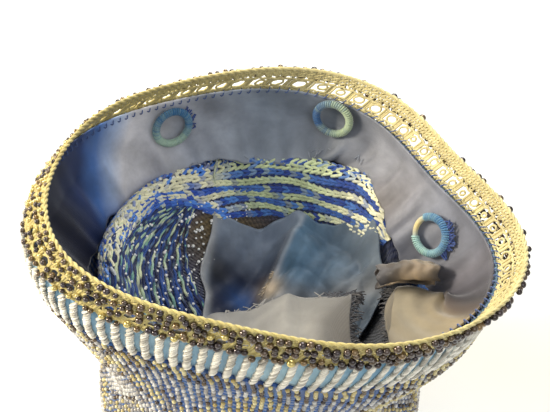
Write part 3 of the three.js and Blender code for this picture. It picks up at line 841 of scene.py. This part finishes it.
def curtain(angle, share):
    """The lining's surface: share 0 is its sewn edge, 1 its torn one."""
    drop = CURTAIN_TOP + share * (eased(CURTAIN, "drop", angle) - CURTAIN_TOP)
    swung = np.maximum(share, 0) ** eased(CURTAIN, "swing", angle)
    inset = (CURTAIN_INSET + eased(CURTAIN, "sag", angle) * swung)[:, None]
    inward = angle + np.radians(eased(CURTAIN, "skew", angle)) * swung
    points = ovals(angle)[:, 1:]
    height = points[:, 0, 2] - drop
    upper = np.clip((points[:, :, 2] > height[:, None]).sum(1) - 1, 0, points.shape[1] - 2)
    each = np.arange(len(angle))
    above, below = points[each, upper], points[each, upper + 1]
    part = ((above[:, 2] - height) / (above[:, 2] - below[:, 2]))[:, None]
    return above + (below - above) * part - inset * np.stack([np.cos(inward), np.sin(inward), 0 * angle], 1)


def curtain_place(across, down):
    """The lining with its folds and its torn edge, longer in tabs at the back and at the right."""
    angle = across * 2 * np.pi
    torn = 1 + 0.025 * np.sin(angle * 11) * np.sin(angle * 5 + 1) + 0.006 * np.sin(angle * 67)
    torn = torn + 0.09 * (near(angle, 84, 4) + 0.6 * near(angle, 97, 9)) + 0.3 * near(angle, 60, 13)
    first = -(CURTAIN_TOP + SEAM_OVERLAP) / (eased(CURTAIN, "drop", angle) - CURTAIN_TOP)
    share = first + (1 - first) * down * torn
    folds = 0.8 * np.sin(angle * 17 + 2 * down) + 0.5 * np.sin(angle * 29 + 1)
    folds = folds + 0.25 * np.sin(angle * 53 + 5 * down)
    return on(curtain, angle, share, -0.9 * folds * np.minimum(down * 1.6, 1) - 0.4 * down)


def curtain_tint(across, down):
    """Silk coloured by bearing with painted sheen and shade, darker towards the torn edge, mottled, with
    painted brown-grey shade in a fold at the right and two dark stains at the back.
    """
    bearings = np.array(list(CURTAIN_TINT))
    colours = np.array([ink(code) for code in CURTAIN_TINT.values()])
    bearing, angle = across * 360, across * 2 * np.pi
    slanted = bearing - 17 * down * hill(bearing, 148, 36)
    blended = np.stack([np.interp(slanted, bearings, colours[:, k], period=360) for k in range(3)], 1)
    # Painted shade: a brown-grey streak down the fold at the right, deepening towards the torn edge.
    blended = mixed(blended, ink("6b6158"), hill(bearing, 34, 10) * down * 0.75)
    mottled = np.sin(angle * 31 + 4 * down) * np.sin(angle * 13 - 5 * down) + np.sin(angle * 19 + 7 * down)
    stained = hill(bearing, 107, 5) * hill(down, 0.3, 0.3) + hill(bearing, 66, 8) * hill(down, 0.1, 0.35)
    return blended * (1.06 - 0.18 * down + 0.08 * mottled - 0.4 * stained)[:, None]


worn_silk = silk("worn_silk", roughness=0.42, dull=0.78, bright=1.12)
curtain_parts = (curtain_place, curtain_tint, worn_silk)
lining = cloth("lining_curtain_silk", (340, 40), (400, 28), *curtain_parts, closed=True)
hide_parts("lining_curtain")

at = loop(SEAM_STITCHES)
stitch = np.linspace(0, 1, 6)
steps = [on(wall, at + 0.012 * s, 0.84 + 0.16 * s, -1.0 - 1.7 * np.sin(s * np.pi)) for s in stitch]
sewn = (np.stack(steps, 1), SEAM_THREAD, ink("3d5488"), False)
seam = strands("lining_stitches", [sewn], soft_thread)

# Loose lining
# The lower lining, torn off and crumpled in the well: a pouch at the left, dark with painted shade, and a
# smoother sheet at the right with a turned hem between them, pale with a painted highlight.
DRAPE = {"left": -26.5, "right": 36, "front": -6, "back": 40, "tear": 1, "clearance": 2.8}
DRAPE_CORNERS = {"left": 0.18, "right": 0.5}
RIDGES = table(
    "from_x from_y to_x to_y height width",
    (-5, 4, 7, 31, 11, 8),
    (14, 20, 26, 15, 12, 11),
    (-4.5, 18.5, 7, 38, 3, 2.4),
)
WELL_LIP = 5


def well_height(x, y):
    """The height of the well's surface over a point: its sections lie one inside the next."""
    lip, foot = np.zeros(len(x)), np.full(len(x), 2.0)

    def section(part):
        upper = np.minimum(part.astype(int), 1) + WELL_LIP

        def mix(column):
            outer, inner = FOLD[column][upper], FOLD[column][upper + 1]
            return outer + (inner - outer) * (part + WELL_LIP - upper)

        across, along = (x - mix("x")) / mix("wide"), (y - mix("y")) / mix("deep")
        angle = np.arctan2(along, across)
        rise = mix("share") * eased(CREST, "height", angle) + mix("rise")
        return np.hypot(across, along) / (1 + mix("share") * eased(CREST, "bulge", angle)), rise

    for _ in range(20):
        middle = (lip + foot) / 2
        inside = section(middle)[0] < 1
        lip, foot = np.where(inside, middle, lip), np.where(inside, foot, middle)
    return section(lip)[1]


def drape_height(x, y):
    """How high the loose lining lies over a point."""
    z = well_height(x, y) + DRAPE["clearance"]
    for from_x, from_y, to_x, to_y, height, width in zip(*RIDGES.values()):
        line = np.array((to_x - from_x, to_y - from_y))
        part = np.clip(((x - from_x) * line[0] + (y - from_y) * line[1]) / (line @ line), 0, 1)
        away = np.hypot(x - from_x - part * line[0], y - from_y - part * line[1])
        z = z + height * hill(away, 0, width)
    return z + 0.5 * np.sin(x * 0.5 + y * 0.3) * np.sin(y * 0.45) + 0.3 * np.sin(x * 0.9 - y * 0.7)


def drape_place(across, down):
    """The loose lining with its torn, rounded corners."""
    across, along = 2 * across - 1, 2 * down - 1
    tear = DRAPE["tear"] * np.maximum(np.abs(across), np.abs(along)) * np.sin(7 * np.arctan2(along, across))
    half_x, half_y = (DRAPE["right"] - DRAPE["left"]) / 2, (DRAPE["back"] - DRAPE["front"]) / 2
    corner = np.where(across < 0, DRAPE_CORNERS["left"], DRAPE_CORNERS["right"])
    x = DRAPE["left"] + half_x * (1 + across * np.sqrt(1 - along**2 * corner)) + tear
    y = DRAPE["back"] - half_y * (1 + along * np.sqrt(1 - across**2 * corner)) + tear
    return np.stack([x, y, drape_height(x, y)], 1) + BOX_SHIFT


def hem_line(y):
    """Where the turned hem of the loose lining crosses it, from front to back."""
    return -4.5 + (y - 18.5) * 0.59


def drape_tint(across, down):
    """The pouch, dark with painted shade and with a painted blue sheen; the bluer sheet; painted highlights,
    pale along the hem and the left edge and tan at the hem's front end.
    """
    points = drape_place(across, down) - BOX_SHIFT
    x, y = points[:, 0], points[:, 1]
    right_of_hem = x - hem_line(y)
    # Painted shade: the pouch darkens towards the front, nearly black in its hollow.
    pouch = mixed(ink("0f1c3a"), ink("7f8b9a"), (y - 24) / 12)
    pouch = mixed(pouch, ink("14171e"), hill(np.hypot(x + 21, y - 23), 0, 6) * 0.85)
    # Painted sheen: a blue glint low on the pouch.
    pouch = mixed(pouch, ink("2f5fa0"), hill(np.hypot(x + 13, y - 16), 0, 5) * 0.7)
    # Painted highlight along the pouch's left edge.
    pouch = mixed(pouch, ink("8f9aa6"), hill(x, -26, 1.6) * 0.7)
    sheet = mixed(ink("4f7088"), ink("66737f"), (x - 8) / 20)
    sheet = mixed(sheet, ink("8d8e8e"), hill(y, 14, 3.5) * 0.8)
    colour = mixed(pouch, sheet, right_of_hem / 1.4 + 0.5)
    # Painted highlights: pale along the hem, tan at its front end, pale along the sheet's left edge.
    colour = mixed(colour, ink("a6adb4"), hill(right_of_hem, 0.7, 1.0) * 0.75)
    colour = mixed(colour, ink("ecd2ac"), hill(np.hypot(x + 3.2, (y - 18) * 0.9), 0, 4) * 0.95)
    return mixed(colour, ink("b0b0ae"), hill(across, 0, 0.03) * 0.85)


crumpled_silk = silk("crumpled_silk", roughness=0.4, dull=0.75, bright=1.15)
drape = cloth("lining_drape_silk", (110, 84), (70, 60), drape_place, drape_tint, crumpled_silk)
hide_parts("lining_drape")

# Rolled flap
# A torn strip of the lining that has curled into an open roll at the right. It is browned, and greyer at its
# left end.
FLAP_FROM, FLAP_TO = np.array((31.5, 1.5, 94.5)), np.array((51.2, 3.2, 94.0))
FLAP_RADIUS, FLAP_OPENS, FLAP_CLOSES, FLAP_BOW = 4, -100, 160, 2


def flap_place(across, down):
    """The roll, bowed up along its length, its ends ragged."""
    roll = np.radians(FLAP_OPENS + (FLAP_CLOSES - FLAP_OPENS) * down)
    radius = FLAP_RADIUS + 0.3 * np.sin(across * 9 + 3 * roll) + 0.15 * np.sin(across * 31)
    line = FLAP_FROM + (FLAP_TO - FLAP_FROM) * (across + 0.03 * np.sin(roll * 5))[:, None]
    bow = FLAP_BOW * np.sin(across * np.pi)
    return line + np.stack([0 * roll, radius * np.cos(roll), radius * np.sin(roll) + bow], 1) + BOX_SHIFT


def flap_tint(across, down):
    """Browned in bands, grey at the left end."""
    browned = mixed(ink("4a4136"), ink("8e7a5e"), 0.5 + 0.5 * np.sin(across * 7 + 4 * down))
    return mixed(browned, ink("3c3c40"), 0.9 - 3 * across)


browned_silk = silk("browned_silk", roughness=0.45, dull=0.7, bright=1.15)
flap = cloth("lining_flap_silk", (48, 40), (24, 19), flap_place, flap_tint, browned_silk)
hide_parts("lining_flap")

# Rings
# Three brass rings covered in buttonhole stitch and sewn flat to the lining for a draw cord. The first and
# the third have tufts of loose ends, and the third has lost some of its thread, so that brass shows.
RING_RADIUS, RING_WIRE, RING_STAND_OFF = 6.05, 1.4, 2.9
RINGS = {"ring_1": (120, 7.0), "ring_2": (70.5, 3.5), "ring_3": (12, 11)}
RING_TINT = {
    "ring_1": (ink("2a6896"), ink("a6c0aa"), 250),
    "ring_2": (ink("a9b894"), ink("2f5c8c"), 180),
    "ring_3": (ink("96b8ae"), ink("2f6a9c"), 75),
}
RING_TUFTS = {"ring_1": (12, np.pi), "ring_3": (34, 3.75)}
BARE_AT, BARE_RING = 20, "ring_3"
WRAPS = 54
WRAP_THREAD, TUFT_THREAD = 0.34, 0.28
WRAP_RADIUS, CORE_RADIUS = RING_WIRE - 0.32, RING_WIRE - 0.45


def ring_frame(bearing, drop):
    """A ring's centre and three axes: across it, down the lining and into the bag."""
    angle = np.radians(np.array([bearing]))
    length = eased(CURTAIN, "drop", angle)
    top, foot = (curtain(angle, (drop + side * RING_RADIUS) / length)[0] for side in (-1, 1))
    along = (curtain(angle + 0.05, np.array([0.2])) - curtain(angle - 0.05, np.array([0.2])))[0]
    inward = unit(np.cross(along, foot - top))
    down = unit(foot - top)
    return (top + foot) / 2 + RING_STAND_OFF * inward, np.cross(down, inward), down, inward


for name, (bearing, drop) in RINGS.items():
    centre, across, down, inward = ring_frame(bearing, drop)

    def round_ring(turn, off, rise):
        """Points of the ring: off is from its wire's middle outward, rise into the bag."""
        radius = (RING_RADIUS + off)[..., None]
        flat = np.cos(turn)[..., None] * across + np.sin(turn)[..., None] * down
        return centre + radius * flat + rise[..., None] * inward

    turn = loop(72)
    core = round_ring(turn, 0 * turn, 0 * turn)
    first, second, first_at = RING_TINT[name]
    bare = near(turn, BARE_AT, 35) * (name == BARE_RING)
    core_tint = mixed((first + second) / 2, ink("d9c486"), bare)
    start = loop(WRAPS)
    if name == BARE_RING:
        start = start[np.abs(turned_from(start, BARE_AT)) > 38]
    around = np.linspace(0, 2 * np.pi, 13)
    turns = start[:, None] + 0.06 * around / np.pi
    off, rise = WRAP_RADIUS * np.cos(around), WRAP_RADIUS * np.sin(around)
    wraps = round_ring(turns, off, rise)
    part = (0.5 - 0.5 * np.cos(start - np.radians(first_at))) ** 1.4
    wrap_tint = mixed(first, second, part + chance.normal(0, 0.12, len(start)))
    ring_groups = [
        (core[None], CORE_RADIUS, core_tint[None], True),
        (wraps, WRAP_THREAD, np.repeat(wrap_tint[:, None], len(around), 1), False),
    ]
    if name in RING_TUFTS:
        ends, toward = RING_TUFTS[name]
        along = np.linspace(0, 1, 6)
        root = toward + chance.normal(0, 0.42, ends)
        reach = chance.uniform(1.2, 2.8, ends)[:, None] * along
        spread = chance.normal(0, 0.5, (ends, 1)) * along**1.5
        tuft = round_ring(root[:, None] + spread * 0.3, 0.6 + reach, 0.6 * spread - 0.9 * along)
        ring_groups.append((tuft, TUFT_THREAD, ink("27407c"), False))
    ring = strands(name + "_thread", ring_groups, soft_thread)
    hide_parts(name)

# Frayed threads
# Loose ends along the torn edges of the lining and the hem of its loose part, thick tufts either side of the
# notch at the front, and one pale thread caught over the roll at the back.
EDGE_FRAYS = ((282, 287, 30, "24242a"), (40, 130, 50, "8a8f98"), (236, 284, 40, "8a867e"))
NOTCH_TUFTS = ((286.6, 290.6, 1, 190), (302.5, 307, -1, 120))
HEM_FRAYS = 30
HEM_LEAN = ((-1, -0.2), (-0.8, 0.1), (-0.3, 0.3))
EDGE_THREAD, NOTCH_THREAD, HEM_THREAD, PALE_THREAD = 0.16, 0.17, 0.13, 0.36

groups = []
along = np.linspace(0, 1, 6)
for first, last, count, colour in EDGE_FRAYS:
    bearing = chance.uniform(first, last, count)
    length = chance.uniform(0.03, 0.12, count)
    sway = 2 * np.sin(bearing * 9)
    steps = [on(curtain, np.radians(bearing + sway * s), 0.97 + length * s, -0.5 * s) for s in along]
    groups.append((np.stack(steps, 1), EDGE_THREAD, ink(colour), False))
for first, last, sideways, count in NOTCH_TUFTS:
    root = curtain(np.radians(chance.uniform(first, last, count)), chance.uniform(0.96, 1.0, count))
    lean_x = sideways * chance.uniform(0.5, 1.2, count)
    lean_y = chance.normal(0.15, 0.35, count)
    lean = np.stack([lean_x, lean_y, chance.normal(0, 0.3, count)], 1)
    length = chance.uniform(1.5, 4.5, (count, 1))
    bend = np.array((0, 0, -0.5)) * length
    paths = np.stack([root + lean * length * s + bend * s * s for s in along], 1)
    tuft_tint = mixed(ink("100f14"), ink("4a4440"), chance.uniform(0, 1, count) ** 2)
    groups.append((paths, NOTCH_THREAD, tuft_tint[:, None], False))
y = chance.uniform(15.5, 23, HEM_FRAYS)
root = np.stack([hem_line(y), y, drape_height(hem_line(y), y) + 0.3], 1) + BOX_SHIFT
lean = np.stack([chance.uniform(low, high, HEM_FRAYS) for low, high in HEM_LEAN], 1)
steps = [root + lean * chance.uniform(1.0, 2.4, (HEM_FRAYS, 1)) * s for s in np.linspace(0, 1, 4)]
groups.append((np.stack(steps, 1), HEM_THREAD, ink("d9c3a0"), False))
along = np.linspace(0, 1, 24)
bearing = 105 + 7 * along + 2 * np.sin(along * 4)
pale = on(body, np.radians(bearing), 9.8 + 1.15 * along, -2.2 - 0.6 * np.sin(along * 5))
groups.append((pale[None], PALE_THREAD, ink("c8cfae"), False))
frayed = strands("frayed_threads", groups, soft_thread)
